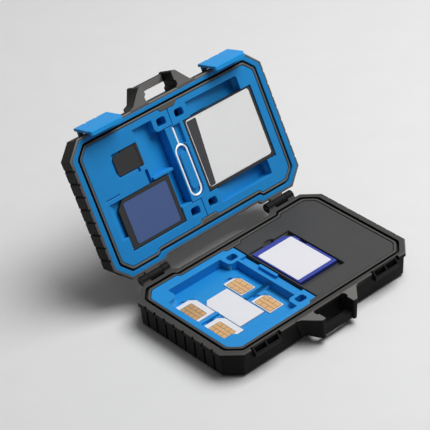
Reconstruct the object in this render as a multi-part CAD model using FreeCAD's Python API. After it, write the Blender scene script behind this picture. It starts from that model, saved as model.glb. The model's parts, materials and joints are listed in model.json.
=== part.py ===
import FreeCAD, Part
import math
import os

os.makedirs("parts", exist_ok=True)

# Memory card case, open as photographed, in millimetres.
# X runs along the hinge, -Y is the handle side, +Z is up, the origin is the middle of the base's underside.
# Plan places are (x, d), where d is the distance from the hinge line; u is the height above the rim plane.
# The lid is built opened flat behind the hinge, so that both halves face up, then swung to open_angle.

# Cards, standard sizes: length, width, thickness
cf_size = (42.8, 36.4, 3.3)
sd_size = (32.0, 24.0, 2.1)
micro_sd_size = (15.0, 11.0, 1.0)
mini_sim_size = (25.0, 15.0, 0.76)
micro_sim_size = (15.0, 12.0, 0.76)
nano_sim_size = (12.3, 8.8, 0.67)
cf_long, cf_wide, cf_thick = cf_size
sd_long, sd_wide, sd_thick = sd_size
micro_long, micro_wide, micro_thick = micro_sd_size
mini_long, mini_wide, sim_thick = mini_sim_size
micro_sim_long, micro_sim_wide, _ = micro_sim_size
nano_long, nano_wide, nano_thick = nano_sim_size
card_fit = 0.3
card_sink = 0.4

# The CF card with its margins sets the trays, and the walls round the trays set the case
cf_gap_left = 5.6
cf_gap_right = 4.6
cf_gap_end = 11.75
cf_shift = 1.25
side_wall = 6.2
end_wall = 5.3
tray_half_x = cf_gap_left + cf_long + cf_gap_right
tray_half_y = cf_wide / 2 + cf_gap_end
half_width = tray_half_x + side_wall
half_depth = tray_half_y + end_wall

# Case
base_height = 14.0
lid_height = 12.0
corner_cut = 7.8
open_angle = 116.0
hinge_gap = 2.8
parting_gap = 0.1
floor_thick = 1.8
rim_band = 2.3
rim_chamfer = 0.5
wall_inset = 0.8
wall_draft = 0.5
wall_root = 0.8
edge_chamfer = 1.4
back_jog = 1.6
jog_run = 1.7
bump_depth = 1.7
bump_half = 4.2
bump_run = 1.6
above = 1.0

# Places shared by all pieces
BASE, LID = -1, 1
X_AXIS = FreeCAD.Vector(1, 0, 0)
Y_AXIS = FreeCAD.Vector(0, 1, 0)
Z_AXIS = FreeCAD.Vector(0, 0, 1)
mid_d = half_depth + hinge_gap
hinge_y = mid_d
hinge_point = FreeCAD.Vector(0, hinge_y, base_height)
front_d = mid_d + half_depth
root_d = front_d - wall_inset - wall_draft - wall_root
tray_back, tray_front = mid_d - tray_half_y, mid_d + tray_half_y
corner_share = 2 - math.sqrt(2)
base_floor = floor_thick - base_height
lid_rim = -parting_gap
lid_top = lid_rim - lid_height
lid_floor = lid_top + floor_thick

# Trays and the walls that hold them
tray_fit = 0.25
tray_sink = 0.3
tray_skirt = 1.6
lid_deck = 5.2
sim_deck = 6.6
sd_deck = 4.0
seam_gap = 0.3
base_lip = 1.25
base_groove = 1.45
groove_depth = 2.2
lid_lip = 0.95
lid_groove = 1.05
seal_lip = 1.15
seal_depth = 2.0
corner_radius = 3.0
tray_top = -tray_sink

# Grooves down the short walls
flute_pitch = 6.4
flute_count = 8
flute_width = 1.1
flute_depth = 1.2
rim_notch = 0.6

# Hinges
hinge_from_side = 19.2
outer_jog_reach = 10.8
inner_jog_reach = 8.2
knuckle_radius = 2.3
knuckle_end = 4.3
knuckle_mid = 7.8
knuckle_gap = 0.2
arm_root = 1.6
pin_radius = 0.8
pin_fit = 0.01
pin_recess = 0.8
swing_fit = 0.05
hinge_x = half_width - hinge_from_side
outer_jog_x = hinge_x - outer_jog_reach
inner_jog_x = hinge_x - inner_jog_reach

# Latches and their catches, profiles as (out from the front wall, u)
latch_from_side = 21.2
latch_half = 9.8
latch_pivot = (1.3, -4.4)
barrel_radius = 1.15
trunnion_radius = 0.6
strap_outer = [(3.9, -6.1), (1.85, 5.6), (1.2, 6.5)]
hook_tip = [(-0.7, 6.6), (-0.5, 5.45)]
strap_inner = [(1.15, 5.35), (3.1, -6.1)]
cheek_inner = [(0.75, 5.6), (1.0, 3.0), (1.9, -2.5), (2.4, -6.1)]
cheek_thick = 0.5
hook_corner = 2.0
web_high = 0.8
web_out = 3.2
stop_half = 2.5
stop_low = -2.6
stop_high = -1.0
stop_fit = 0.05
stop_out = 2.6
notch_half = 0.7
notch_depth = 0.8
lug_inset = 0.6
lug_thick = 1.6
lug_gap = 0.2
catch_half = 7.8
catch_relief = 1.2
catch_slope_in = (-1.55, 0.0)
catch_slope_out = (1.45, -2.7)
catch_foot_out = (0.95, -5.0)
catch_rib = 0.9
catch_pocket_in = -1.0
catch_pocket_out = 0.9
catch_pocket_low = -4.6
latch_x = half_width - latch_from_side

# Handle: reach is measured out from the front wall
handle_root_half = 17.4
handle_foot_run = 2.6
handle_foot_reach = 1.1
handle_tip_half = 11.2
handle_tip_reach = 8.0
handle_tip_radius = 0.8
handle_taper = 3.4
handle_tip_taper = 0.6
slot_half = 8.8
slot_width = 3.6
slot_root = 0.5
slot_radius = 1.0
base_grip_width = 3.1
lid_grip_width = 3.7
grip_bottom = -10.8
base_grip_drop = 7.0
lid_grip_drop = 8.9

# Card details
sd_cut = 4.0
sd_key_depth = 0.8
sd_key_back = 8.2
sd_key_front = 3.6
sim_cut = 2.6
card_corner = 0.8
cf_guide_depth = 0.8
cf_guide_low = 1.0
cf_guide_width = 1.2
cf_guide_stop = 4.0
micro_cut = 1.3
micro_step = 0.8
micro_step_place = 1.9
micro_step_run = 0.7
micro_body = 0.75
micro_lip = 1.3

# Labels and contact plates: margins to the card's left, right, back and front edges
label_thick = 0.12
cf_label_margins = (1.0, 1.6, 1.7, 0.5)
cf_label_radius = 1.5
lid_sd_label_margins = (3.3, 2.5, 1.6, 1.8)
lid_sd_label_radius = 1.2
base_sd_label_margins = (0.7, 1.6, 3.1, 1.9)
base_sd_label_radius = 0.8
chip_thick = 0.06
chip_radius = 0.8
micro_chip_margins = (1.4, 3.2, 2.6, 1.4)
nano_chip_margins = (0.5, 0.5, 1.3, 0.4)

# Places of the cards, from the trays' edges and from each other
lid_sd_margin_left = 8.3
lid_sd_margin_back = 6.3
micro_sd_margin_left = 15.4
micro_sd_margin_front = 9.0
sims_margin_left = 3.6
micro_mini_gap = 0.5
mini_nano_gap = 0.95
micro_sim_margin_back = 15.4
micro_sim_gap = 4.3
mini_sim_margin_back = 21.7
nano_sim_margin_back = 18.15
nano_sim_gap = 6.5
cf_x = cf_gap_left + cf_long / 2
cf_d = mid_d + cf_shift
lid_sd_x = -tray_half_x + lid_sd_margin_left + sd_long / 2
lid_sd_d = tray_back + lid_sd_margin_back + sd_wide / 2
micro_x = -tray_half_x + micro_sd_margin_left + micro_long / 2
micro_d = tray_front - micro_sd_margin_front - micro_wide / 2
micro_sim_x = -tray_half_x + sims_margin_left + micro_sim_wide / 2
mini_x = micro_sim_x + micro_sim_wide / 2 + micro_mini_gap + mini_wide / 2
nano_sim_x = mini_x + mini_wide / 2 + mini_nano_gap + nano_wide / 2
mini_d = tray_back + mini_sim_margin_back + mini_long / 2
micro_sim_back_d = tray_back + micro_sim_margin_back + micro_sim_long / 2
micro_sim_centres = (micro_sim_back_d, micro_sim_back_d + micro_sim_long + micro_sim_gap)
nano_sim_back_d = tray_back + nano_sim_margin_back + nano_long / 2
nano_sim_centres = (nano_sim_back_d, nano_sim_back_d + nano_long + nano_sim_gap)

# Tray corner tabs, holes and finger wells
hole_half_x = 2.6
hole_half_d = 2.0
hole_radius = 1.3
hole_x = 5.5
hole_margin_back = 8.2
hole_margin_front = 5.8
tab_x = 11.2
tab_margin_back = 12.2
tab_margin_front = 9.6
tab_radius = 2.5
frame_margin_back = 5.5
frame_margin_front = 3.0
lobe_margin = 9.6
lobe_radius = 3.0
hole_back, hole_front = tray_back + hole_margin_back, tray_front - hole_margin_front
tab_back, tab_front = tray_back + tab_margin_back, tray_front - tab_margin_front
frame_back, frame_front = tray_back + frame_margin_back, tray_front - frame_margin_front
lobe_x = tray_half_x - lobe_margin

# Lid trays
lid_seam_x = -0.5
bridge_left = -5.8
lid_well_depth = 7.0
micro_step_gap = 0.2
micro_room = 1.4
micro_room_run = 2.7
key_from_end = 4.6
key_wide = 1.3
key_deep = 2.1
key_radius = 0.4
slit_wide = 1.7
slit_front_gap = 2.6
slit_floor = 3.7
slit_radius = 0.5
fin_gap_left = 1.4
fin_gap_right = 3.0
fin_gap_back = 0.3
fin_wide = 1.5
fin_drop = 0.1
fin_radius = 0.6
sd_scoop = 4.2
sd_scoop_end = 0.5
line_gap = 2.9
line_margin = 4.0
line_long = 8.0
line_depth = 0.6
line_width = 0.5
cf_well_margin_left = 4.6
cf_well_margin_right = 5.8
cf_well_start = 1.4
cf_well_radius = 1.2
cf_well_lap = 2.0
well_wall = 1.4
bridge_back, bridge_front = tab_back + seam_gap, tab_front - seam_gap

# Eject pin
eject_x = -0.9
wire_radius = 0.65
loop_half = 3.25
loop_margin = 14.5
needle_margin = 0.7
needle_long = 9.4
needle_taper = 1.2
needle_point = 0.25
loop_slot_depth = 1.8
island_half = 2.1
needle_room = 3.2
loop_back = tray_back + loop_margin
needle_tip = bridge_front - needle_margin
loop_front = needle_tip - needle_long

# SIM tray
base_seam_x = -0.6
sim_floor = 3.0
sim_pocket = 0.35
sim_well_depth = 5.0
sim_frame_margin = 3.6
sim_slope_margin = 14.9
sim_slope_gap = 0.15
sim_wall_x = 6.3
sim_rail_x = 4.5
sim_rail_drop = 1.6
pull_left = -2.4
pull_back = -8.1
pull_front = 4.2
pull_radius = 0.8
rib_height = 1.1
rib_thick = 1.7
thumb_radius = 2.2
thumb_depth = 0.6
front_lobe_gap = 0.5
sim_frame_x = tray_half_x - sim_frame_margin
sim_slope_d = tray_back + sim_slope_margin
sim_slope_x = -(nano_sim_x + nano_wide / 2) + sim_slope_gap
front_lobe = micro_sim_centres[1] + micro_sim_long / 2 + front_lobe_gap

# SD tray
sd_tray_left = 0.2
recess_margin = 0.8
recess_room_x = 1.7
recess_room_d = 5.4
recess_back = 17.65
recess_depth = 2.2
base_sd_gap_left = 0.8
base_sd_gap_back = 1.3
thumb_notch_radius = 4.2
thumb_notch_reach = 1.8
recess_x0 = sd_tray_left + recess_margin
recess_x1 = recess_x0 + sd_wide + recess_room_x
recess_d0 = mid_d - recess_back
recess_d1 = recess_d0 + sd_long + recess_room_d
base_sd_x = recess_x0 + base_sd_gap_left + sd_wide / 2
base_sd_d = recess_d0 + base_sd_gap_back + sd_long / 2


def place(half, x, d, u):
    """A point of one half: d from the hinge line, u above the rim plane."""
    return FreeCAD.Vector(x, hinge_y + half * d, base_height + u)


def polygon(points):
    return Part.Face(Part.makePolygon(points + points[:1]))


def prism(half, plan, low, high):
    """Plan outline of (x, d) points raised from low to high."""
    return polygon([place(half, x, d, low) for x, d in plan]).extrude(Z_AXIS * (high - low))


def frustum(half, plan_low, low, plan_high, high):
    """Straight-sided solid between two plan outlines of the same point count."""
    wires = []
    for plan, level in ((plan_low, low), (plan_high, high)):
        points = [place(half, x, d, level) for x, d in plan]
        wires.append(Part.makePolygon(points + points[:1]))
    return Part.makeLoft(wires, True, True)


def box(half, x0, x1, d0, d1, low, high):
    return prism(half, [(x0, d0), (x1, d0), (x1, d1), (x0, d1)], low, high)


def around(half, centre, size_x, size_d, low, high, gap=0.0):
    """Box about a plan centre, with a gap all round."""
    x, d = centre
    wide = size_x / 2 + gap
    deep = size_d / 2 + gap
    return box(half, x - wide, x + wide, d - deep, d + deep, low, high)


def round_upright(solid, radius, chosen=None):
    """Rounds the upright edges, or those whose plan place passes chosen."""
    edges = []
    for edge in solid.Edges:
        a, b = edge.Vertexes[0].Point, edge.Vertexes[-1].Point
        if abs(a.z - b.z) > 1e-6 and (chosen is None or chosen(a)):
            edges.append(edge)
    return solid.makeFillet(radius, edges)


def rounded_box(half, x0, x1, d0, d1, low, high, radius):
    return round_upright(box(half, x0, x1, d0, d1, low, high), radius)


def along_x(half, profile, x0, x1):
    """Profile of (d, u) points drawn out from x0 to x1."""
    return polygon([place(half, x0, d, u) for d, u in profile]).extrude(X_AXIS * (x1 - x0))


def along_d(half, profile, d0, d1):
    """Profile of (x, u) points drawn out from d0 to d1."""
    return polygon([place(half, x, d0, u) for x, u in profile]).extrude(Y_AXIS * (half * (d1 - d0)))


def rod_x(half, d, u, radius, x0, x1):
    return Part.makeCylinder(radius, x1 - x0, place(half, x0, d, u), X_AXIS)


def rod_up(half, x, d, radius, low, high):
    return Part.makeCylinder(radius, high - low, place(half, x, d, low))


def fused(shapes):
    solid = shapes[0]
    if len(shapes) > 1:
        solid = solid.fuse(shapes[1:])
    return solid.removeSplitter()


def outline(half_x, half_y, jog_x=inner_jog_x, bump=0.0):
    """Octagon of the case in (x, d), with the step between the hinges and optional middle bumps."""
    inset = (half_width - half_x + half_depth - half_y) / 2
    cut = corner_cut - corner_share * inset
    back, front = mid_d - half_y, mid_d + half_y
    step = back + back_jog
    wide = bump_half + bump_run
    right = [(half_x - cut, front), (half_x, front - cut), (half_x, back + cut), (half_x - cut, back)]
    right += [(jog_x + jog_run, back), (jog_x, step)]
    if bump:
        right = [(bump_half, front - bump), (wide, front)] + right
        right += [(wide, step), (bump_half, step + bump)]
    return right + [(-x, d) for x, d in reversed(right)]


def shell_outline(inset):
    return outline(half_width - inset, half_depth - inset, outer_jog_x)


def tray_outline(grow):
    return outline(tray_half_x + grow, tray_half_y + grow, bump=bump_depth)


def wall_line(grow):
    return outline(tray_half_x + tray_fit + grow, tray_half_y + tray_fit + grow)


def corner_prism(half, plan, low, high):
    """Prism of a case outline, with its four cut corners softened."""
    return round_upright(prism(half, plan, low, high), corner_radius, lambda point: abs(point.x) > hinge_x)


def ring(half, inner, outer, low, high):
    return corner_prism(half, outer, low, high).cut(corner_prism(half, inner, low - 1, high + 1))


def swung(shape):
    """Takes a lid piece from opened flat to the photographed angle."""
    turned = shape.copy()
    turned.rotate(hinge_point, X_AXIS, 180 - open_angle)
    return turned


def save(name, shape):
    shape.exportStep("parts/" + name + ".step")


def shell_blank(half, rim, far):
    """Outer form of one half: rim band, drafted walls and a chamfered far edge."""
    band = -rim_band
    foot = far + edge_chamfer
    low = wall_inset + wall_draft
    return fused([
        frustum(half, shell_outline(low + edge_chamfer), far, shell_outline(low), foot),
        frustum(half, shell_outline(low), foot, shell_outline(wall_inset), band),
        prism(half, shell_outline(0), band, rim - rim_chamfer),
        frustum(half, shell_outline(0), rim - rim_chamfer, shell_outline(rim_chamfer), rim),
    ])


def flutes(half, rim, far):
    """Upright grooves in both short walls, shallower where they notch the rim band."""
    cutters = []
    outer = half_width + 1
    band = -rim_band
    spans = [
        (half_width - wall_inset - flute_depth, far - 1, band),
        (half_width - rim_notch, band - 1, rim + 1),
    ]
    for n in range(flute_count):
        d = mid_d + (n - (flute_count - 1) / 2) * flute_pitch
        d0, d1 = d - flute_width / 2, d + flute_width / 2
        for inner, low, high in spans:
            cutters.append(box(half, inner, outer, d0, d1, low, high))
            cutters.append(box(half, -outer, -inner, d0, d1, low, high))
    return cutters


def handle(half, rim, drop, grip_width):
    """Two tapered posts on the front wall, joined by a grip that sits back from the rim plane."""
    slot_in, slot_out = front_d + slot_root, front_d + slot_width
    end = slot_half + slot_radius
    room = rounded_box(half, -end, end, slot_in, slot_out, grip_bottom - 1, rim + above, slot_radius)
    tip = front_d + handle_tip_reach
    tip_y = place(half, 0, tip, 0).y
    pieces = []
    for side in (-1, 1):
        plans = []
        for root_taper, tip_taper in ((handle_taper, handle_tip_taper), (0, 0)):
            root = handle_root_half - root_taper
            plans.append([
                (side * slot_half, root_d),
                (side * (root + handle_foot_run), root_d),
                (side * (root + handle_foot_run), front_d),
                (side * root, front_d + handle_foot_reach),
                (side * (handle_tip_half - tip_taper), tip),
                (side * slot_half, tip),
            ])
        post = frustum(half, plans[0], grip_bottom, plans[1], rim)
        post = round_upright(post, handle_tip_radius, lambda point: abs(point.y - tip_y) < 1e-6)
        pieces.append(post.cut(room))
    inside = slot_half + handle_tip_radius
    pieces.append(box(half, -inside, inside, slot_out, slot_out + grip_width, grip_bottom, rim - drop))
    return pieces


def hinge_knuckles(half, rim, ranges, bore):
    """Round knuckles with an arm back to the wall, and their bores."""
    solids, bores = [], []
    reach = hinge_gap + arm_root
    for x0, x1 in ranges:
        solids.append(rod_x(half, 0, 0, knuckle_radius, x0, x1))
        solids.append(box(half, x0, x1, 0, reach, -knuckle_radius, rim))
        bores.append(rod_x(half, 0, 0, bore, x0 - 1, x1 + 1))
    return solids, bores


def end_knuckles():
    ranges = []
    reach = knuckle_mid / 2 + knuckle_gap
    for side in (-1, 1):
        for end in (-1, 1):
            a = side * hinge_x + end * reach
            b = a + end * knuckle_end
            ranges.append((min(a, b), max(a, b)))
    return ranges


def mid_knuckles():
    return [(side * hinge_x - knuckle_mid / 2, side * hinge_x + knuckle_mid / 2) for side in (-1, 1)]


def swing_space(half, ranges):
    """Room in one half's wall for the other half's knuckles."""
    clear = knuckle_radius + knuckle_gap
    return [rod_x(half, 0, 0, clear, x0 - knuckle_gap, x1 + knuckle_gap) for x0, x1 in ranges]


def from_front(points):
    """Profile given out from the front wall, as (d, u)."""
    return [(front_d + out, u) for out, u in points]


def catch(side):
    """Sloped ledge a latch hooks under: the rim's relief, the ledge and its two pockets."""
    x0, x1 = side * latch_x - catch_half, side * latch_x + catch_half
    slope_in, slope_out, foot_out = from_front([catch_slope_in, catch_slope_out, catch_foot_out])
    beyond = slope_out[0] + above
    relief = box(BASE, x0 - catch_relief, x1 + catch_relief, slope_in[0], beyond, -rim_band, above)
    ledge = along_x(BASE, [slope_in, slope_out, foot_out, (root_d, foot_out[1])], x0, x1)
    wide = (2 * catch_half - 3 * catch_rib) / 2
    near, far = front_d + catch_pocket_in, front_d + catch_pocket_out
    pockets = []
    for n in range(2):
        p0 = x0 + catch_rib + n * (wide + catch_rib)
        pockets.append(box(BASE, p0, p0 + wide, near, far, catch_pocket_low, above))
    return relief, ledge, pockets


# Base shell
cavity = tray_outline(tray_fit)
reliefs, ledges, pockets = [], [], []
for side in (-1, 1):
    relief, ledge, pair = catch(side)
    reliefs.append(relief)
    ledges.append(ledge)
    pockets += pair
base = shell_blank(BASE, 0.0, -base_height).cut(reliefs + flutes(BASE, 0.0, -base_height))
knuckles, bores = hinge_knuckles(BASE, 0.0, end_knuckles(), pin_radius + pin_fit)
base = fused([base] + ledges + handle(BASE, 0.0, base_grip_drop, base_grip_width) + knuckles)
groove = ring(BASE, wall_line(base_lip), wall_line(base_lip + base_groove), -groove_depth, above)
base = base.cut([corner_prism(BASE, cavity, base_floor, above), groove] + pockets + bores)
base = base.cut(swing_space(BASE, mid_knuckles())).removeSplitter()
save("base_shell", base)

# Lid shell, with lugs for the latches on its front wall
(pivot_d, pivot_u), = from_front([latch_pivot])
lug_end = latch_half - lug_inset
lug_start = lug_end - lug_thick
trunnion_bore = trunnion_radius + swing_fit
lid = shell_blank(LID, lid_rim, lid_top).cut(flutes(LID, lid_rim, lid_top))
knuckles, bores = hinge_knuckles(LID, lid_rim, mid_knuckles(), pin_radius + swing_fit)
lugs = []
for side in (-1, 1):
    for end in (-1, 1):
        a, b = side * latch_x + end * lug_start, side * latch_x + end * lug_end
        x0, x1 = min(a, b), max(a, b)
        lugs.append(rod_x(LID, pivot_d, pivot_u, barrel_radius, x0, x1))
        lugs.append(box(LID, x0, x1, root_d, pivot_d, pivot_u - barrel_radius, pivot_u + barrel_radius))
        bores.append(rod_x(LID, pivot_d, pivot_u, trunnion_bore, x0 - lug_gap / 2, x1 + lug_gap / 2))
lid = fused([lid] + handle(LID, lid_rim, lid_grip_drop, lid_grip_width) + knuckles + lugs)
seat_out = outline(half_width - seal_lip, half_depth - seal_lip, outer_jog_x)
seat = ring(LID, wall_line(lid_lip), seat_out, lid_rim - seal_depth, above)
lid = lid.cut([corner_prism(LID, cavity, lid_floor, above), seat] + bores)
lid = lid.cut(swing_space(LID, end_knuckles())).removeSplitter()
save("lid_shell", swung(lid))

# Seal ring in the lid, with a groove left between it and the lip
seal = ring(LID, wall_line(lid_lip + lid_groove), seat_out, lid_rim - seal_depth, lid_rim)
save("lid_seal", swung(seal))

# Hinge pins
pin_reach = knuckle_mid / 2 + knuckle_gap + knuckle_end - pin_recess
for side, name in ((-1, "hinge_pin_left"), (1, "hinge_pin_right")):
    save(name, rod_x(BASE, 0, 0, pin_radius, side * hinge_x - pin_reach, side * hinge_x + pin_reach))


def hook_outline(x0, x1):
    """Block round a strap, seen from the front, with the two corners at the hook rounded."""
    d0, d1 = root_d - above, front_d + strap_outer[0][0] + above
    low, high = strap_outer[0][1] - above, hook_tip[0][1]
    block = box(LID, x0, x1, d0, d1, low, high)
    corners = []
    for edge in block.Edges:
        a, b = edge.Vertexes[0].Point, edge.Vertexes[-1].Point
        if abs(a.y - b.y) > above and a.z > base_height:
            corners.append(edge)
    return block.makeFillet(hook_corner, corners)


def latch(side):
    """Strap with a hook, hung on a stub axle at each end from lugs on the lid's front wall."""
    c = side * latch_x
    x0, x1 = c - latch_half, c + latch_half
    outer = from_front(strap_outer)
    inner = from_front(strap_inner)
    cheek = outer[:2] + from_front(cheek_inner)
    strap = fused([
        along_x(LID, outer + from_front(hook_tip) + inner, x0, x1),
        along_x(LID, cheek, x0, x0 + cheek_thick),
        along_x(LID, cheek, x1 - cheek_thick, x1),
    ]).common(hook_outline(x0, x1))
    reach = lug_start - lug_gap
    barrel = rod_x(LID, pivot_d, pivot_u, barrel_radius, c - reach, c + reach)
    web_low, web_top = pivot_u - web_high, pivot_u + web_high
    web = box(LID, c - reach, c + reach, pivot_d, front_d + web_out, web_low, web_top)
    stop_in, stop_end = front_d + stop_fit, front_d + stop_out
    stop = box(LID, c - stop_half, c + stop_half, stop_in, stop_end, stop_low, stop_high)
    axle = rod_x(LID, pivot_d, pivot_u, trunnion_radius, c - lug_end, c + lug_end)
    root_u = outer[0][1]
    notches = []
    for third in (-1, 1):
        n0 = c + third * latch_half / 3 - notch_half
        n1 = n0 + 2 * notch_half
        notches.append(box(LID, n0, n1, pivot_d, outer[0][0] + above, root_u - 1, root_u + notch_depth))
    return fused([strap, barrel, web, stop, axle]).cut(notches)


save("latch_left", swung(latch(-1)))
save("latch_right", swung(latch(1)))


def clip_box(x0, x1):
    return [(x0, 0), (x1, 0), (x1, 2 * mid_d), (x0, 2 * mid_d)]


def tray_blank(half, floor, clip, clip_inner, deck, solid_under):
    """Tray body inside clip: a deck on a skirt, left solid under the deep wells."""
    body = corner_prism(half, tray_outline(0), floor, tray_top)
    body = body.common(prism(half, clip, floor - 1, above))
    core = prism(half, tray_outline(-tray_skirt), floor - 1, tray_top - deck)
    core = core.common(prism(half, clip_inner, floor - 1, above))
    for x0, x1, d0, d1 in solid_under:
        core = core.cut(box(half, x0, x1, d0, d1, floor - 2, above))
    return body.cut(core)


def corner_hole(half, x, d, floor):
    """Rounded hole right through a tray."""
    x0, x1 = x - hole_half_x, x + hole_half_x
    return rounded_box(half, x0, x1, d - hole_half_d, d + hole_half_d, floor - 1, above, hole_radius)


def ramp_d(half, x0, u0, x1, u1, d0, d1, end_radius=0.0):
    """Cutter with a floor that runs from (x0, u0) to (x1, u1), its deep end rounded if asked."""
    cutter = along_d(half, [(x0, above), (x0, u0), (x1, u1), (x1, above)], d0, d1)
    if not end_radius:
        return cutter
    corners = []
    for edge in cutter.Edges:
        a, b = edge.Vertexes[0].Point, edge.Vertexes[-1].Point
        if abs(a.z - b.z) > 1e-6 and abs(a.x - x1) + abs(b.x - x1) < 1e-6:
            corners.append(edge)
    return cutter.makeFillet(end_radius, corners)


# Left lid tray: micro SD above, SD below, both with a floor that slopes down toward the middle bridge,
# and a free fin between the two
cf_low = tray_top - card_sink - cf_thick
lid_sd_low = tray_top - card_sink - sd_thick
micro_low = tray_top - card_sink - micro_thick
deep_u = tray_top - lid_well_depth
left_edge = bridge_left - seam_gap
left_seam = lid_seam_x - seam_gap
step_back, step_front = bridge_back - seam_gap, bridge_front + seam_gap
left_clip = [
    (-half_width, 0), (left_seam, 0), (left_seam, step_back), (left_edge, step_back),
    (left_edge, step_front), (left_seam, step_front), (left_seam, 2 * mid_d), (-half_width, 2 * mid_d),
]
sd_right = lid_sd_x + sd_long / 2
sd_left = lid_sd_x - sd_long / 2
sd_front = lid_sd_d + sd_wide / 2
line_d = sd_front + line_gap
micro_left, micro_right = micro_x - micro_long / 2, micro_x + micro_long / 2
micro_back, micro_front = micro_d - micro_wide / 2, micro_d + micro_wide / 2
micro_step_x = micro_right + micro_step_gap
line_x0 = line_margin - tray_half_x
line_x1 = line_x0 + line_long
left_solid = [(micro_step_x, 0, frame_back, frame_front + well_wall)]
lid_left = tray_blank(
    LID, lid_floor, left_clip, clip_box(-half_width, left_edge - tray_skirt), lid_deck, left_solid
)
micro_end_room = [
    (micro_left + 1, micro_back),
    (micro_left, micro_back),
    (micro_left - micro_room, micro_back + micro_room_run),
    (micro_left - micro_room, micro_front - micro_room_run),
    (micro_left, micro_front - micro_step),
    (micro_left + 1, micro_front - micro_step),
]
key_x = micro_right - key_from_end
key_d = micro_back - key_deep
slit_x = micro_step_x - slit_wide
slit_front = micro_back - slit_front_gap
sd_pocket_front = sd_front + card_fit
tab_standing = rounded_box(LID, -tab_x, half_width, tab_front, 2 * mid_d, deep_u - 1, above + 1, tab_radius)
micro_ramp = ramp_d(LID, micro_step_x, micro_low, left_edge + 1, deep_u, sd_front, frame_front)
sd_scoop_x = sd_left - sd_scoop
lid_left = lid_left.cut([
    around(LID, (lid_sd_x, lid_sd_d), sd_long, sd_wide, lid_sd_low, above, card_fit),
    around(LID, (micro_x, micro_d), micro_long, micro_wide, micro_low, above, card_fit),
    prism(LID, micro_end_room, micro_low, above),
    rounded_box(LID, key_x, key_x + key_wide, key_d, micro_back, micro_low, above, key_radius),
    rounded_box(
        LID, slit_x, micro_step_x + 1, sd_front - 1, slit_front, tray_top - slit_floor, above, slit_radius
    ),
    ramp_d(LID, sd_scoop_x, tray_top, sd_left - sd_scoop_end, lid_sd_low, tab_back + 1, sd_pocket_front),
    box(LID, sd_left - 1, lid_sd_x, tab_back + 1, sd_pocket_front, lid_sd_low, above),
    ramp_d(LID, sd_right - 1, lid_sd_low, left_edge + 1, deep_u, tab_back + 1, sd_pocket_front),
    micro_ramp.cut(tab_standing),
    box(LID, line_x0, line_x1, line_d - line_width, line_d, tray_top - line_depth, above),
    corner_hole(LID, lid_seam_x - hole_x, hole_front, lid_floor),
    corner_hole(LID, lid_seam_x - hole_x, hole_back, lid_floor),
])
fin_x0, fin_x1 = micro_step_x + fin_gap_left, left_edge - fin_gap_right
fin_back = sd_pocket_front + fin_gap_back
fin = rounded_box(
    LID, fin_x0, fin_x1, fin_back, fin_back + fin_wide, deep_u - 1, tray_top - fin_drop, fin_radius
)
save("lid_tray_left", swung(fused([lid_left, fin])))

# Right lid tray: CF card with a sloping finger well above and below, and the eject pin's slot in the bridge
right_clip = [
    (half_width, 0), (lid_seam_x, 0), (lid_seam_x, bridge_back), (bridge_left, bridge_back),
    (bridge_left, bridge_front), (lid_seam_x, bridge_front), (lid_seam_x, 2 * mid_d), (half_width, 2 * mid_d),
]
cf_left, cf_right = cf_x - cf_long / 2, cf_x + cf_long / 2
cf_back, cf_front = cf_d - cf_wide / 2, cf_d + cf_wide / 2
cf_well_left, cf_well_right = cf_left + cf_well_margin_left, cf_right - cf_well_margin_right
well_spans = ((frame_back, cf_back + cf_well_lap), (cf_front - cf_well_lap, frame_front))
right_solid = [
    (cf_well_left, cf_well_right + well_wall, d0 - well_wall, d1 + well_wall) for d0, d1 in well_spans
]
lid_right = tray_blank(
    LID, lid_floor, right_clip, clip_box(lid_seam_x + tray_skirt, half_width), lid_deck, right_solid
)


def stadium(half, x, d0, d1, radius, low, high):
    """Long block along d with round ends."""
    return fused([
        box(half, x - radius, x + radius, d0 + radius, d1 - radius, low, high),
        rod_up(half, x, d0 + radius, radius, low, high),
        rod_up(half, x, d1 - radius, radius, low, high),
    ])


slot_low = tray_top - loop_slot_depth
slot_reach = wire_radius + card_fit
loop_slot = stadium(
    LID, eject_x, loop_back - slot_reach, loop_front + slot_reach, loop_half + slot_reach, slot_low, above
)
island = stadium(
    LID, eject_x, loop_back + loop_half, loop_front - loop_half, island_half, slot_low - 1, above + 1
)
well_start_u = tray_top - cf_well_start
cuts = []
for d0, d1 in well_spans:
    cuts.append(ramp_d(LID, cf_well_left, well_start_u, cf_well_right, deep_u, d0, d1, cf_well_radius))
cuts += [
    around(LID, (cf_x, cf_d), cf_long, cf_wide, cf_low, above, card_fit),
    loop_slot.cut(island),
    box(LID, eject_x - slot_reach, needle_room, loop_front, needle_tip + card_fit, slot_low, above),
    corner_hole(LID, lid_seam_x + hole_x, hole_front, lid_floor),
    corner_hole(LID, lid_seam_x + hole_x, hole_back, lid_floor),
]
save("lid_tray_right", swung(lid_right.cut(cuts).removeSplitter()))

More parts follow.
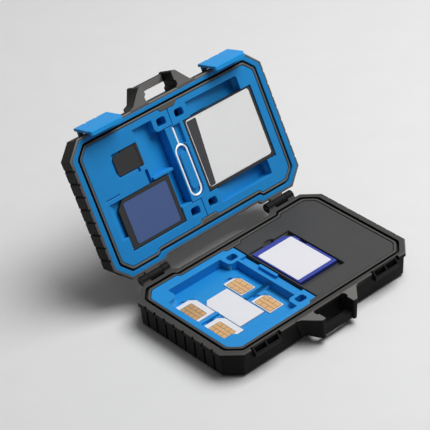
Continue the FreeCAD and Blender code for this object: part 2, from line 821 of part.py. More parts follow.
# SIM tray in the base: a sunk floor that slopes down at the back and right, tabs and lobes left standing
floor_u = tray_top - sim_floor
pocket_u = floor_u - sim_pocket
well_u = tray_top - sim_well_depth
sim_tray = tray_blank(
    BASE, base_floor, clip_box(-half_width, base_seam_x), clip_box(-half_width, base_seam_x - tray_skirt),
    sim_deck, [(-tab_x, 0, 0, 2 * mid_d)],
)
over = well_u - 1
standing = [
    rounded_box(BASE, -half_width, -lobe_x, 0, tab_back, over, above + 1, lobe_radius),
    rounded_box(BASE, -half_width, -lobe_x, front_lobe, 2 * mid_d, over, above + 1, lobe_radius),
    rounded_box(BASE, -tab_x, half_width, 0, tab_back, over, above + 1, tab_radius),
    rounded_box(BASE, -tab_x, half_width, tab_front, 2 * mid_d, over, above + 1, tab_radius),
]
back_slope = [(frame_back, above), (frame_back, well_u), (sim_slope_d, floor_u), (sim_slope_d, above)]
sunk = fused([
    box(BASE, -sim_frame_x, -sim_wall_x, frame_back, frame_front, floor_u, above),
    along_x(BASE, back_slope, -lobe_x, -sim_wall_x),
    ramp_d(BASE, -sim_slope_x, floor_u, -sim_wall_x, well_u, frame_back, tab_front),
])
rail = box(BASE, -sim_rail_x, half_width, tab_back, tab_front, tray_top - sim_rail_drop, above)
pull_d0, pull_d1 = mid_d + pull_back, mid_d + pull_front
pull = rounded_box(BASE, pull_left, base_seam_x, pull_d0, pull_d1, base_floor - 2, above + 1, pull_radius)
cuts = [sunk.cut(standing), rail.cut(pull)]
cuts.append(around(BASE, (mini_x, mini_d), mini_wide, mini_long, pocket_u, above, card_fit))
sim_places = [(micro_sim_x, d, micro_sim_wide, micro_sim_long) for d in micro_sim_centres]
sim_places += [(nano_sim_x, d, nano_wide, nano_long) for d in nano_sim_centres]
for x, d, wide, long in sim_places:
    back = d - long / 2 - card_fit
    cuts.append(around(BASE, (x, d), wide, long, pocket_u, above, card_fit))
    cuts.append(rod_up(BASE, x, back, thumb_radius, pocket_u - thumb_depth, above))
cuts += [corner_hole(BASE, base_seam_x - hole_x, d, base_floor) for d in (hole_back, hole_front)]
sim_tray = sim_tray.cut(cuts)


def rib_between(x0, x1, centres):
    """Low rib midway between two cards."""
    middle = sum(centres) / 2 - rib_thick / 2
    return box(BASE, x0, x1, middle, middle + rib_thick, well_u, floor_u + rib_height)


mini_edge = mini_wide / 2 + card_fit
ribs = [
    rib_between(-sim_frame_x - 1, mini_x - mini_edge, micro_sim_centres),
    rib_between(mini_x + mini_edge, 1 - sim_wall_x, nano_sim_centres),
]
save("sim_tray", fused([sim_tray] + ribs))

# Black tray beside the SIM tray, with a recess for an SD card and a finger notch behind it
recess_low = tray_top - recess_depth
notch_d = recess_d0 + thumb_notch_radius - thumb_notch_reach
sd_tray = tray_blank(
    BASE, base_floor, clip_box(sd_tray_left, half_width), clip_box(sd_tray_left + tray_skirt, half_width),
    sd_deck, [],
)
sd_tray = sd_tray.cut([
    box(BASE, recess_x0, recess_x1, recess_d0, recess_d1, recess_low, above),
    rod_up(BASE, base_sd_x, notch_d, thumb_notch_radius, recess_low, above),
])
save("sd_tray", sd_tray.removeSplitter())


def cut_corner_plan(centre, wide, deep, cut, side_x, side_d):
    """Rectangle about a centre, wide by deep, with the corner toward (side_x, side_d) cut off."""
    x, d = centre
    corner = [(wide / 2 - cut, deep / 2), (wide / 2, deep / 2 - cut)]
    plan = corner + [(wide / 2, -deep / 2), (-wide / 2, -deep / 2), (-wide / 2, deep / 2)]
    return [(x + side_x * px, d + side_d * pd) for px, pd in plan]


def film(half, x, d, size_x, size_d, margins, low, high, radius):
    """Thin rounded film on a card, inside margins to its left, right, back and front edges."""
    left, right, back, front = margins
    x0, x1 = x - size_x / 2 + left, x + size_x / 2 - right
    d0, d1 = d - size_d / 2 + back, d + size_d / 2 - front
    return rounded_box(half, x0, x1, d0, d1, low, high, radius)


# CF card in the lid, with a guide groove down each short side
cf_top = cf_low + cf_thick
guide_low, guide_high = cf_low + cf_guide_low, cf_low + cf_guide_low + cf_guide_width
guide_end = cf_front - cf_guide_stop
cf = rounded_box(LID, cf_left, cf_right, cf_back, cf_front, cf_low, cf_top, card_corner)
cf = cf.cut([
    box(LID, cf_left - 1, cf_left + cf_guide_depth, cf_back - 1, guide_end, guide_low, guide_high),
    box(LID, cf_right - cf_guide_depth, cf_right + 1, cf_back - 1, guide_end, guide_low, guide_high),
])
save("cf_card", swung(cf))
label_top = cf_top + label_thick
save("cf_label", swung(
    film(LID, cf_x, cf_d, cf_long, cf_wide, cf_label_margins, cf_top, label_top, cf_label_radius)
))

# SD card in the lid, cut corner toward the front left
lid_sd_top = lid_sd_low + sd_thick
lid_sd_plan = cut_corner_plan((lid_sd_x, lid_sd_d), sd_long, sd_wide, sd_cut, -1, 1)
save("lid_sd_card", swung(prism(LID, lid_sd_plan, lid_sd_low, lid_sd_top)))
label_top = lid_sd_top + label_thick
save("lid_sd_label", swung(
    film(LID, lid_sd_x, lid_sd_d, sd_long, sd_wide, lid_sd_label_margins, lid_sd_top, label_top,
         lid_sd_label_radius)
))

# Micro SD card: stepped side toward the front, narrow end toward the left, raised lip at the right
long, wide = micro_long / 2, micro_wide / 2
narrow = wide - micro_step
micro_plan = [
    (-long, -wide + micro_cut), (-long + micro_cut, -wide), (long, -wide), (long, wide),
    (-micro_step_place, wide), (-micro_step_place - micro_step_run, narrow),
    (-long + micro_cut, narrow), (-long, narrow - micro_cut),
]
micro_plan = [(micro_x + x, micro_d + d) for x, d in micro_plan]
micro_high = micro_low + micro_thick
micro_sd = fused([
    prism(LID, micro_plan, micro_low, micro_low + micro_body),
    box(LID, micro_right - micro_lip, micro_right, micro_back, micro_front, micro_low, micro_high),
])
save("micro_sd_card", swung(micro_sd))

# Eject pin: a wire loop with a needle
wire_u = slot_low + wire_radius
loop_start = loop_back + loop_half
loop_end = loop_front - loop_half
start = place(LID, eject_x, loop_start, wire_u)
pieces = [Part.makeTorus(loop_half, wire_radius, place(LID, eject_x, loop_end, wire_u), Z_AXIS, 0, 360, 180)]
near_bend = Part.makeTorus(loop_half, wire_radius, start, Z_AXIS, 0, 360, 180)
near_bend.rotate(start, Z_AXIS, 180)
pieces.append(near_bend)
for side in (-1, 1):
    leg = place(LID, eject_x + side * loop_half, loop_start, wire_u)
    pieces.append(Part.makeCylinder(wire_radius, loop_end - loop_start, leg, Y_AXIS))
needle_end = needle_tip - needle_taper
needle_start = place(LID, eject_x, loop_front, wire_u)
pieces.append(Part.makeCylinder(wire_radius, needle_end - loop_front, needle_start, Y_AXIS))
taper_start = place(LID, eject_x, needle_end, wire_u)
pieces.append(Part.makeCone(wire_radius, needle_point, needle_taper, taper_start, Y_AXIS))
save("eject_pin", swung(fused(pieces)))

# SD card in the base, cut corner toward the hinge and the right, with a notch in its right edge
base_sd_top = recess_low + sd_thick
sd_right = base_sd_x + sd_wide / 2
base_sd_plan = cut_corner_plan((base_sd_x, base_sd_d), sd_wide, sd_long, sd_cut, 1, -1)
base_sd = prism(BASE, base_sd_plan, recess_low, base_sd_top)
key = box(
    BASE, sd_right - sd_key_depth, sd_right + 1, base_sd_d - sd_key_back, base_sd_d - sd_key_front,
    recess_low - 1, base_sd_top + 1,
)
save("base_sd_card", base_sd.cut(key))
label_top = base_sd_top + label_thick
save("base_sd_label", film(
    BASE, base_sd_x, base_sd_d, sd_wide, sd_long, base_sd_label_margins, base_sd_top, label_top,
    base_sd_label_radius
))


def sim_card(x, d, wide, long, thick, side_x, name):
    """SIM card with its cut corner toward the hinge, on the side given."""
    plan = cut_corner_plan((x, d), wide, long, sim_cut, side_x, -1)
    save(name, prism(BASE, plan, pocket_u, pocket_u + thick))


def contacts(x, d, wide, long, thick, margins, name):
    top = pocket_u + thick
    save(name, film(BASE, x, d, wide, long, margins, top, top + chip_thick, chip_radius))


# SIM cards with their contact plates; the middle one lies face down
sim_card(mini_x, mini_d, mini_wide, mini_long, sim_thick, -1, "mini_sim_card")
for d, name in zip(micro_sim_centres, ("micro_sim_back", "micro_sim_front")):
    sim_card(micro_sim_x, d, micro_sim_wide, micro_sim_long, sim_thick, 1, name)
    plate = name + "_contacts"
    contacts(micro_sim_x, d, micro_sim_wide, micro_sim_long, sim_thick, micro_chip_margins, plate)
for d, name in zip(nano_sim_centres, ("nano_sim_back", "nano_sim_front")):
    sim_card(nano_sim_x, d, nano_wide, nano_long, nano_thick, 1, name)
    plate = name + "_contacts"
    contacts(nano_sim_x, d, nano_wide, nano_long, nano_thick, nano_chip_margins, plate)
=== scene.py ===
import bmesh
import bpy
import json
import math
from mathutils import Matrix, Vector


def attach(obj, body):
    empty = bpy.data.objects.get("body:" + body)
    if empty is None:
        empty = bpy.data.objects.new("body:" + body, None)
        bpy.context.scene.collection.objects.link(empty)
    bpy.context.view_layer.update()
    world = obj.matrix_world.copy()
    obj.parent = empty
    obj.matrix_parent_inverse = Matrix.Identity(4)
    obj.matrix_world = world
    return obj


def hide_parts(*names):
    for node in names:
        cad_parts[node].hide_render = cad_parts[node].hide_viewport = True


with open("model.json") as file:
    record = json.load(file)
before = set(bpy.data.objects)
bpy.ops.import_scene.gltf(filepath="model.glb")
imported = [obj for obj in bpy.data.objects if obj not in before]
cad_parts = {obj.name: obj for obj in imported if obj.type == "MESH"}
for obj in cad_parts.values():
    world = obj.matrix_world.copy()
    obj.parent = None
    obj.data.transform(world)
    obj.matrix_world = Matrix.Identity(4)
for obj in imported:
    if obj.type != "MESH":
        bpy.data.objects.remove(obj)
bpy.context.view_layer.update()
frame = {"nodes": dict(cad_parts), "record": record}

# Places in metres: each half is measured as (x, depth from the hinge line, height over its rim)
MM = 0.001
LID_TURN = math.radians(64.0)
HINGE = Vector((0, 38.05, 14.0)) * MM
X_AXIS, Y_AXIS, Z_AXIS = Vector((1, 0, 0)), Vector((0, 1, 0)), Vector((0, 0, 1))
LID_DEPTH = math.cos(LID_TURN) * Y_AXIS + math.sin(LID_TURN) * Z_AXIS
LID_UP = math.cos(LID_TURN) * Z_AXIS - math.sin(LID_TURN) * Y_AXIS


def half_place(depth_axis, up_axis):
    """Matrix from a half's own (x, depth, height) to the part's frame."""
    turn = Matrix((X_AXIS, depth_axis, up_axis)).transposed().to_4x4()
    return Matrix.Translation(HINGE) @ turn


BASE_PLACE = half_place(-Y_AXIS, Z_AXIS)
LID_PLACE = half_place(LID_DEPTH, LID_UP)

# Shader group that the finishes share


def new_group(name, inputs, outputs):
    """Shader group with named sockets; each entry is (name, socket type, default)."""
    tree = bpy.data.node_groups.new(name, "ShaderNodeTree")
    for label, kind, value in inputs:
        socket = tree.interface.new_socket(name=label, in_out="INPUT", socket_type=kind)
        socket.default_value = value
    for label, kind in outputs:
        tree.interface.new_socket(name=label, in_out="OUTPUT", socket_type=kind)
    return tree, tree.nodes.new("NodeGroupInput"), tree.nodes.new("NodeGroupOutput")


def feed(tree, value, socket):
    """Sets a socket to a number or links it to another socket."""
    if isinstance(value, (int, float)):
        socket.default_value = value
    else:
        tree.links.new(value, socket)


def object_noise(tree, scale, detail):
    """Noise on Object coordinates."""
    place = tree.nodes.new("ShaderNodeTexCoord")
    noise = tree.nodes.new("ShaderNodeTexNoise")
    noise.inputs["Detail"].default_value = detail
    tree.links.new(place.outputs["Object"], noise.inputs["Vector"])
    feed(tree, scale, noise.inputs["Scale"])
    return noise.outputs["Fac"]


def ranged(tree, value, from_low, from_high, low, high):
    """Value from one range onto another, held at its ends."""
    node = tree.nodes.new("ShaderNodeMapRange")
    node.inputs["From Min"].default_value = from_low
    node.inputs["From Max"].default_value = from_high
    tree.links.new(value, node.inputs["Value"])
    feed(tree, low, node.inputs["To Min"])
    feed(tree, high, node.inputs["To Max"])
    return node.outputs["Result"]


def combined(tree, operation, first, second):
    """Result of a math operation on two numbers or sockets."""
    node = tree.nodes.new("ShaderNodeMath")
    node.operation = operation
    feed(tree, first, node.inputs[0])
    feed(tree, second, node.inputs[1])
    return node.outputs[0]


# Face attribute holding the share of painted sheen, a paler colour standing in for gloss highlights on rims
# and edges
PAINTED_SHEEN_LAYER = "pale"


def painted_sheen_mask(tree):
    """Share of the painted sheen (a paler colour on rims, edges and handle faces), kept on the faces of the
    softened copies; zero where a piece has none.
    """
    kept = tree.nodes.new("ShaderNodeAttribute")
    kept.attribute_name = PAINTED_SHEEN_LAYER
    return kept.outputs["Fac"]


NOISE_LOW, NOISE_HIGH = 0.3, 0.7
CLOUD_SCALE = 55.0
GRAIN_RISE = 0.06 * MM


def moulded_group():
    """Moulded plastic or rubber: mottled colour, a painted sheen (paler colour) on rims and edges, uneven
    gloss and a fine grain.
    """
    tree, given, result = new_group(
        "moulded_surface",
        [("Colour", "NodeSocketColor", (0.5, 0.5, 0.5, 1)),
         ("Painted Sheen Colour", "NodeSocketColor", (0.6, 0.6, 0.6, 1)),
         ("Mottle", "NodeSocketFloat", 0.06),
         ("Grain Scale", "NodeSocketFloat", 2600.0), ("Grain Depth", "NodeSocketFloat", 0.15),
         ("Gloss Low", "NodeSocketFloat", 0.4), ("Gloss High", "NodeSocketFloat", 0.5)],
        [("Colour", "NodeSocketColor"), ("Roughness", "NodeSocketFloat"), ("Normal", "NodeSocketVector")],
    )
    cloud = object_noise(tree, CLOUD_SCALE, detail=3.0)
    grain = object_noise(tree, given.outputs["Grain Scale"], detail=2.0)
    darker = combined(tree, "SUBTRACT", 1.0, given.outputs["Mottle"])
    lighter = combined(tree, "ADD", 1.0, given.outputs["Mottle"])
    # Painted sheen: the pale colour is blended in by the kept share, standing in for gloss highlights on
    # rims and edges
    blend = tree.nodes.new("ShaderNodeMix")
    blend.data_type = "RGBA"
    tree.links.new(painted_sheen_mask(tree), blend.inputs["Factor"])
    tree.links.new(given.outputs["Colour"], blend.inputs["A"])
    tree.links.new(given.outputs["Painted Sheen Colour"], blend.inputs["B"])
    tint = tree.nodes.new("ShaderNodeVectorMath")
    tint.operation = "SCALE"
    tree.links.new(blend.outputs["Result"], tint.inputs[0])
    tree.links.new(ranged(tree, cloud, NOISE_LOW, NOISE_HIGH, darker, lighter), tint.inputs["Scale"])
    tree.links.new(tint.outputs[0], result.inputs["Colour"])
    gloss_low, gloss_high = given.outputs["Gloss Low"], given.outputs["Gloss High"]
    gloss = ranged(tree, grain, NOISE_LOW, NOISE_HIGH, gloss_low, gloss_high)
    tree.links.new(gloss, result.inputs["Roughness"])
    bump = tree.nodes.new("ShaderNodeBump")
    bump.inputs["Distance"].default_value = GRAIN_RISE
    tree.links.new(given.outputs["Grain Depth"], bump.inputs["Strength"])
    tree.links.new(grain, bump.inputs["Height"])
    tree.links.new(bump.outputs["Normal"], result.inputs["Normal"])
    return tree


MOULDED = moulded_group()


def moulded(name, colour, mottle, grain, gloss, specular=0.5, pale=None):
    """Material of one moulded finish; grain is (scale, depth), gloss (low, high), pale the colour of the
    painted sheen on its edges.
    """
    material = bpy.data.materials.new(name)
    material.use_nodes = True
    tree = material.node_tree
    shader = tree.nodes["Principled BSDF"]
    surface = tree.nodes.new("ShaderNodeGroup")
    surface.node_tree = MOULDED
    values = {
        "Colour": (*colour, 1), "Painted Sheen Colour": (*(pale or colour), 1), "Mottle": mottle,
        "Grain Scale": grain[0], "Grain Depth": grain[1], "Gloss Low": gloss[0], "Gloss High": gloss[1],
    }
    for label, value in values.items():
        surface.inputs[label].default_value = value
    tree.links.new(surface.outputs["Colour"], shader.inputs["Base Color"])
    tree.links.new(surface.outputs["Roughness"], shader.inputs["Roughness"])
    tree.links.new(surface.outputs["Normal"], shader.inputs["Normal"])
    shader.inputs["Specular IOR Level"].default_value = specular
    return material


def metal(name, colour, mottle, grain, gloss, share=1.0):
    """Metal, or a film that is part metal."""
    material = moulded(name, colour, mottle, grain, gloss)
    material.node_tree.nodes["Principled BSDF"].inputs["Metallic"].default_value = share
    return material


# Finishes: colour, mottle, grain, gloss, specular level or share of metal, colour of the painted sheen on
# rims

FILM_GRAIN, FILM_GLOSS = (700, 0.02), (0.3, 0.36)
SOFT_GRAIN = (1900, 0.1)
PLATE_GRAIN = (2600, 0.1)
FINISHES = {
    # The black shell's last colour is a painted sheen on its rims, edges and handle, standing in for their
    # highlights
    "black_shell": moulded(
        "black_shell", (0.008, 0.0078, 0.0078), 0.08, (2600, 0.25), (0.46, 0.6), 0.08, (0.2, 0.195, 0.185)
    ),
    "black_tray": moulded("black_tray", (0.036, 0.036, 0.037), 0.06, (1800, 0.2), (0.5, 0.62), 0.3),
    "blue_tray": moulded("blue_tray", (0.011, 0.275, 0.68), 0.04, SOFT_GRAIN, (0.48, 0.6), 0.3),
    "blue_seal": moulded("blue_seal", (0.006, 0.24, 0.6), 0.04, SOFT_GRAIN, (0.44, 0.56), 0.3),
    "blue_latch": moulded("blue_latch", (0.004, 0.3, 0.74), 0.04, (2400, 0.12), (0.44, 0.56), 0.3),
    "card_black": moulded("card_black", (0.022, 0.022, 0.023), 0.06, (3000, 0.2), (0.44, 0.56), 0.3),
    "card_blue": moulded("card_blue", (0.024, 0.045, 0.34), 0.05, (3000, 0.15), (0.4, 0.5), 0.35),
    "label_grey": moulded("label_border", (0.94, 0.94, 0.94), 0.015, FILM_GRAIN, FILM_GLOSS),
    "label_navy": moulded("label_navy", (0.06, 0.11, 0.28), 0.05, FILM_GRAIN, FILM_GLOSS, 0.4),
    "label_white": moulded("label_white", (0.82, 0.81, 0.85), 0.015, FILM_GRAIN, FILM_GLOSS),
    "sim_white": moulded("sim_white", (0.83, 0.83, 0.86), 0.015, (1200, 0.04), (0.32, 0.4)),
    "steel": metal("steel", (0.92, 0.92, 0.93), 0.03, (2200, 0.1), (0.28, 0.38), 0.8),
    "contacts": metal("contact_gaps", (0.26, 0.16, 0.08), 0.05, PLATE_GRAIN, (0.42, 0.55)),
}
CONTACT_GOLD = metal("contact_gold", (0.62, 0.38, 0.185), 0.05, PLATE_GRAIN, (0.3, 0.42))
LABEL_FIELD = metal("label_field", (0.8, 0.8, 0.8), 0.02, FILM_GRAIN, (0.4, 0.48), 0.5)
LABEL_STRIP = moulded("label_strip", (0.042, 0.042, 0.046), 0.08, FILM_GRAIN, (0.3, 0.4), 0.4)

# Softened copies of the moulded pieces

NODE_BODY = {node: body for body, nodes in frame["record"]["behaviour"]["bodies"].items() for node in nodes}
NODE_SLOT = {entry["node"]: entry["material_slot"] for entry in frame["record"]["subparts"]}
# Distance in metres under which corners are one, and turns between faces in degrees
SAME_PLACE = 1e-6
FLAT_TURN = 0.6
SMOOTH_TURN = 35.0
PIECE_TURN, SHELL_TURN, LIP_TURN = 28.0, 40.0, 60.0


def finished(bm, name, body, material):
    """Puts a worked mesh into the scene on its body, in its finish."""
    mesh = bpy.data.meshes.new(name)
    bm.to_mesh(mesh)
    bm.free()
    mesh.materials.append(material)
    mesh.polygons.foreach_set("use_smooth", [True] * len(mesh.polygons))
    mesh.set_sharp_from_angle(angle=math.radians(SMOOTH_TURN))
    piece = bpy.data.objects.new(name, mesh)
    bpy.context.scene.collection.objects.link(piece)
    weights = piece.modifiers.new("face_weights", "WEIGHTED_NORMAL")
    weights.keep_sharp = True
    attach(piece, body)
    return piece


def merged(node):
    """Working copy of a CAD node's triangles, joined into whole faces."""
    bm = bmesh.new()
    bm.from_mesh(frame["nodes"][node].data)
    bmesh.ops.remove_doubles(bm, verts=bm.verts, dist=SAME_PLACE)
    bmesh.ops.dissolve_limit(bm, angle_limit=math.radians(FLAT_TURN), verts=bm.verts, edges=bm.edges)
    return bm


def outer_edges(bm, least_turn):
    """Outer edges whose faces turn by more than the given degrees."""
    limit = math.radians(least_turn)
    return [e for e in bm.edges if len(e.link_faces) == 2 and e.is_convex and e.calc_face_angle() > limit]


def round_edges(bm, edges, radius, segments):
    """Bevels edges to a round of the given radius."""
    bmesh.ops.bevel(
        bm, geom=edges, offset=radius, offset_type="OFFSET", segments=segments, profile=0.5,
        affect="EDGES", clamp_overlap=False, loop_slide=False, material=-1
    )


def stand_in(bm, node):
    """Puts a worked copy of a CAD node in its place, without the flat slivers that rounding can leave."""
    bmesh.ops.dissolve_degenerate(bm, dist=SAME_PLACE, edges=bm.edges)
    slot = NODE_SLOT[node]
    piece = finished(bm, node + "_soft", NODE_BODY[node], FINISHES[slot])
    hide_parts(node)


def softened(node, radius, chosen=None):
    """Stand-in for a CAD node with its outer edges rounded, or the chosen ones of them."""
    bm = merged(node)
    edges = outer_edges(bm, PIECE_TURN)
    if chosen:
        edges = [edge for edge in edges if chosen(edge)]
    round_edges(bm, edges, radius, segments=2)
    stand_in(bm, node)


# Shells: depth of the middle and of the front wall, reach of the lips from the middle, rounding, rim
MID_DEPTH, FRONT_DEPTH = 38.05 * MM, 73.3 * MM
LIP_REACH = (54.8 * MM, 31.7 * MM)
SHELL_RADIUS = 0.12 * MM
RIM_EDGE = 0.5 * MM
RIM_SLACK = 0.01 * MM
LEVEL = 0.99


def softened_shell(node, place, rim, lip_radius, flat_painted_sheen, edge_painted_sheen, handle_painted_sheen, handle_drop):
    """Stand-in for half of the case: lip and edges rounded, rim and handle painted paler by the given shares
    as a painted sheen.

    The handle's level faces carry the painted sheen down to a drop below the rim.
    """
    bm = merged(node)
    to_half = place.inverted()

    def at_rim(vert):
        return abs((to_half @ vert.co).z - rim) < RIM_SLACK

    def on_lip(vert):
        x, depth, _ = to_half @ vert.co
        return at_rim(vert) and abs(x) < LIP_REACH[0] and abs(depth - MID_DEPTH) < LIP_REACH[1]

    lip = [edge for edge in outer_edges(bm, LIP_TURN) if all(on_lip(vert) for vert in edge.verts)]
    round_edges(bm, lip, lip_radius, segments=3)
    round_edges(bm, outer_edges(bm, SHELL_TURN), SHELL_RADIUS, segments=2)
    up = place.to_3x3() @ Z_AXIS
    front = place @ Vector((0, FRONT_DEPTH, 0))
    rim_faces = [face for face in bm.faces if all(at_rim(vert) for vert in face.verts)]
    # The rim is cut at the front wall, where the handle's posts begin
    rim_parts = dict.fromkeys(rim_faces)
    for face in rim_faces:
        rim_parts.update(dict.fromkeys(face.edges))
        rim_parts.update(dict.fromkeys(face.verts))
    bmesh.ops.bisect_plane(bm, geom=list(rim_parts), plane_co=front, plane_no=place.to_3x3() @ Y_AXIS)
    pale = bm.faces.layers.float.new(PAINTED_SHEEN_LAYER)
    # Painted sheen: level rim faces, rounded rim edges and the handle's level faces get a paler colour
    # standing in for their gloss highlights
    for face in bm.faces:
        _, depth, height = to_half @ face.calc_center_median()
        level = face.normal.dot(up) > LEVEL
        if level and depth > FRONT_DEPTH and height > rim - handle_drop:
            face[pale] = handle_painted_sheen
        elif abs(height - rim) < RIM_EDGE:
            face[pale] = flat_painted_sheen if level else edge_painted_sheen
    stand_in(bm, node)


def over(height):
    """Choice of the edges that lie over a height."""
    return lambda edge: all(vert.co.z > height for vert in edge.verts)


def longer_than(length):
    """Choice of the edges over a length."""
    return lambda edge: edge.calc_length() > length


# Painted sheen shares: the lid's rim and edges are painted paler than the base's, standing in for the
# brighter highlights they catch
softened_shell(
    "base_shell", BASE_PLACE, rim=0.0, lip_radius=0.42 * MM,
    flat_painted_sheen=0.29, edge_painted_sheen=0.55, handle_painted_sheen=0.85, handle_drop=RIM_EDGE
)
softened_shell(
    "lid_shell", LID_PLACE, rim=-0.1 * MM, lip_radius=0.33 * MM,
    flat_painted_sheen=0.58, edge_painted_sheen=1.0, handle_painted_sheen=0.9, handle_drop=9.5 * MM
)
for side in ("left", "right"):
    softened("latch_" + side, 0.2 * MM, longer_than(2.5 * MM))
softened("sim_tray", 0.25 * MM, over(11.9 * MM))
SOFT_RADII = {
    0.25: ("lid_seal", "lid_tray_left", "sd_tray", "base_sd_card"),
    0.2: ("lid_tray_right", "cf_card", "lid_sd_card"),
    0.12: ("micro_sd_card", "mini_sim_card", "micro_sim_back", "micro_sim_front", "nano_sim_back",
           "nano_sim_front"),
}
for radius, nodes in SOFT_RADII.items():
    for node in nodes:
        softened(node, radius * MM)

# Printed films and gold pads


def panel(corners, low, high, radius, place):
    """Thin plate from its corners in a half's (x, depth), with rounded corners, set between two heights."""
    bm = bmesh.new()
    outline = [bm.verts.new((x, depth, low)) for x, depth in corners]
    bm.faces.new(outline)
    bmesh.ops.bevel(bm, geom=bm.verts[:], offset=radius, offset_type="OFFSET", segments=4, profile=0.5,
                    affect="VERTICES", clamp_overlap=True, material=-1)
    raised = bmesh.ops.extrude_face_region(bm, geom=bm.faces[:])["geom"]
    top = [v for v in raised if isinstance(v, bmesh.types.BMVert)]
    bmesh.ops.translate(bm, verts=top, vec=(0, 0, high - low))
    bmesh.ops.transform(bm, matrix=place, verts=bm.verts)
    bmesh.ops.recalc_face_normals(bm, faces=bm.faces)
    return bm


def rectangle(x0, x1, depth0, depth1):
    """Corners of a plate between two x and two depths."""
    return [(x0, depth0), (x1, depth0), (x1, depth1), (x0, depth1)]


def half_box(node, place):
    """Lowest and highest corners of a node in its half's own (x, depth, height)."""
    to_half = place.inverted()
    points = [to_half @ vert.co for vert in frame["nodes"][node].data.vertices]
    low = Vector([min(p[n] for p in points) for n in range(3)])
    high = Vector([max(p[n] for p in points) for n in range(3)])
    return low, high


def cf_print():
    """Grey field and dark slanted strip printed on the CF label, with the white film left round them."""
    low, high = half_box("cf_label", LID_PLACE)
    border, front_border = 0.35 * MM, 0.7 * MM
    ink = 0.02 * MM
    field_radius, strip_radius = 1.2 * MM, 0.6 * MM
    x0, x1 = low.x + border, high.x - border
    back, front = low.y + border, high.y - front_border
    field = panel(rectangle(x0, x1, back, front), high.z - ink, high.z + ink, field_radius, LID_PLACE)
    finished(field, "cf_label_field", "cf", LABEL_FIELD)
    strip_back, strip_front = 10.3 * MM, 12.8 * MM
    corners = [(x0, back), (strip_back, back), (strip_front, front), (x0, front)]
    strip = panel(corners, high.z, high.z + 2 * ink, strip_radius, LID_PLACE)
    finished(strip, "cf_label_strip", "cf", LABEL_STRIP)


def contact_pads(node, rows):
    """Gold pads in a column on each side of a long middle one, standing on a SIM card's contact plate."""
    low, high = half_box(node, BASE_PLACE)
    margin, gap = 0.25 * MM, 0.3 * MM
    pad_rise, pad_radius = 0.04 * MM, 0.3 * MM
    side_share = 0.36
    wide, long = high.x - low.x - 2 * margin, high.y - low.y - 2 * margin
    side_wide = side_share * (wide - 2 * gap)
    row_long = (long - (rows - 1) * gap) / rows
    x_left, x_right = low.x + margin, high.x - margin
    back, front = low.y + margin, high.y - margin
    areas = [(x_left + side_wide + gap, x_right - side_wide - gap, back, front)]
    for row in range(rows):
        start = back + row * (row_long + gap)
        areas.append((x_left, x_left + side_wide, start, start + row_long))
        areas.append((x_right - side_wide, x_right, start, start + row_long))
    for number, area in enumerate(areas):
        pad = panel(rectangle(*area), high.z - 0.5 * pad_rise, high.z + pad_rise, pad_radius, BASE_PLACE)
        finished(pad, "%s_pad_%d" % (node, number + 1), NODE_BODY[node], CONTACT_GOLD)


cf_print()
for position in ("back", "front"):
    contact_pads("micro_sim_%s_contacts" % position, rows=4)
    contact_pads("nano_sim_%s_contacts" % position, rows=3)
for node, piece in frame["nodes"].items():
    piece.data.materials.clear()
    piece.data.materials.append(FINISHES[NODE_SLOT[node]])

# Stage: pale floor, white surroundings, one large lamp overhead


def seen_white(tree, other):
    """One on rays from the camera and from shiny or clear pieces, the other value on all others."""
    rays = tree.nodes.new("ShaderNodeLightPath")
    mirrored = combined(tree, "MAXIMUM", rays.outputs["Is Glossy Ray"], rays.outputs["Is Transmission Ray"])
    seen = combined(tree, "MAXIMUM", rays.outputs["Is Camera Ray"], mirrored)
    return ranged(tree, seen, 0.0, 1.0, other, 1.0)


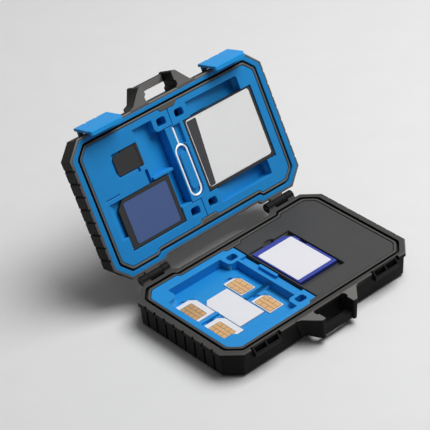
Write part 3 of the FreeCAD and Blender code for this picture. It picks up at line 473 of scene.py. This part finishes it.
def stage_floor(pale, bounce):
    """Pale floor that throws back only part of the light that it shows."""
    half_wide = 3.0
    bm = bmesh.new()
    bmesh.ops.create_grid(bm, x_segments=1, y_segments=1, size=half_wide)
    mesh = bpy.data.meshes.new("floor")
    bm.to_mesh(mesh)
    bm.free()
    floor = bpy.data.objects.new("floor", mesh)
    bpy.context.scene.collection.objects.link(floor)
    paint = moulded("floor_paint", (pale, pale, pale), 0.01, (300, 0.02), (0.6, 0.7))
    tree = paint.node_tree
    shader = tree.nodes["Principled BSDF"]
    share = tree.nodes.new("ShaderNodeVectorMath")
    share.operation = "SCALE"
    tree.links.new(shader.inputs["Base Color"].links[0].from_socket, share.inputs[0])
    tree.links.new(seen_white(tree, bounce), share.inputs["Scale"])
    tree.links.new(share.outputs[0], shader.inputs["Base Color"])
    mesh.materials.append(paint)


def lamp(name, energy, size, place, aim):
    """Square area lamp turned to a point."""
    light = bpy.data.lights.new(name, "AREA")
    light.energy = energy
    light.size = size
    holder = bpy.data.objects.new(name, light)
    holder.location = place
    holder.rotation_euler = (Vector(aim) - Vector(place)).to_track_quat("-Z", "Y").to_euler()
    bpy.context.scene.collection.objects.link(holder)


def surroundings(strength):
    """White to the camera and in shiny pieces, weaker as light."""
    world = bpy.data.worlds.new("surroundings")
    world.use_nodes = True
    tree = world.node_tree
    tree.links.new(seen_white(tree, strength), tree.nodes["Background"].inputs["Strength"])
    tree.nodes["Background"].inputs["Color"].default_value = (1, 1, 1, 1)
    bpy.context.scene.world = world


def photo_camera():
    """Camera at the photo's angle, from the fit to the cards' corners."""
    azimuth, elevation, roll = (math.radians(angle) for angle in (-130.04, 35.06, -4.19))
    target = Vector((-9.49, 27.62, 36.63)) * MM
    distance = 913.07 * MM
    focal_pixels = 1978.66
    frame_pixels = 430
    level = math.cos(elevation)
    away = Vector((level * math.cos(azimuth), level * math.sin(azimuth), math.sin(elevation)))
    right = Z_AXIS.cross(away).normalized()
    up = away.cross(right)
    turned_right = math.cos(roll) * right + math.sin(roll) * up
    turned_up = math.cos(roll) * up - math.sin(roll) * right
    lens = bpy.data.cameras.new("camera")
    lens.sensor_fit = "HORIZONTAL"
    lens.sensor_width = 36.0
    lens.lens = lens.sensor_width * focal_pixels / frame_pixels
    camera = bpy.data.objects.new("camera", lens)
    bpy.context.scene.collection.objects.link(camera)
    turn = Matrix((turned_right, turned_up, away)).transposed().to_4x4()
    camera.matrix_world = Matrix.Translation(target + away * distance) @ turn
    bpy.context.scene.camera = camera


stage_floor(pale=0.82, bounce=0.4)
lamp("overhead", energy=9.8, size=0.7, place=(0.36, -0.12, 0.92), aim=(0, 0.02, 0.03))
surroundings(strength=0.1)
photo_camera()
bpy.context.scene.view_settings.view_transform = "Standard"
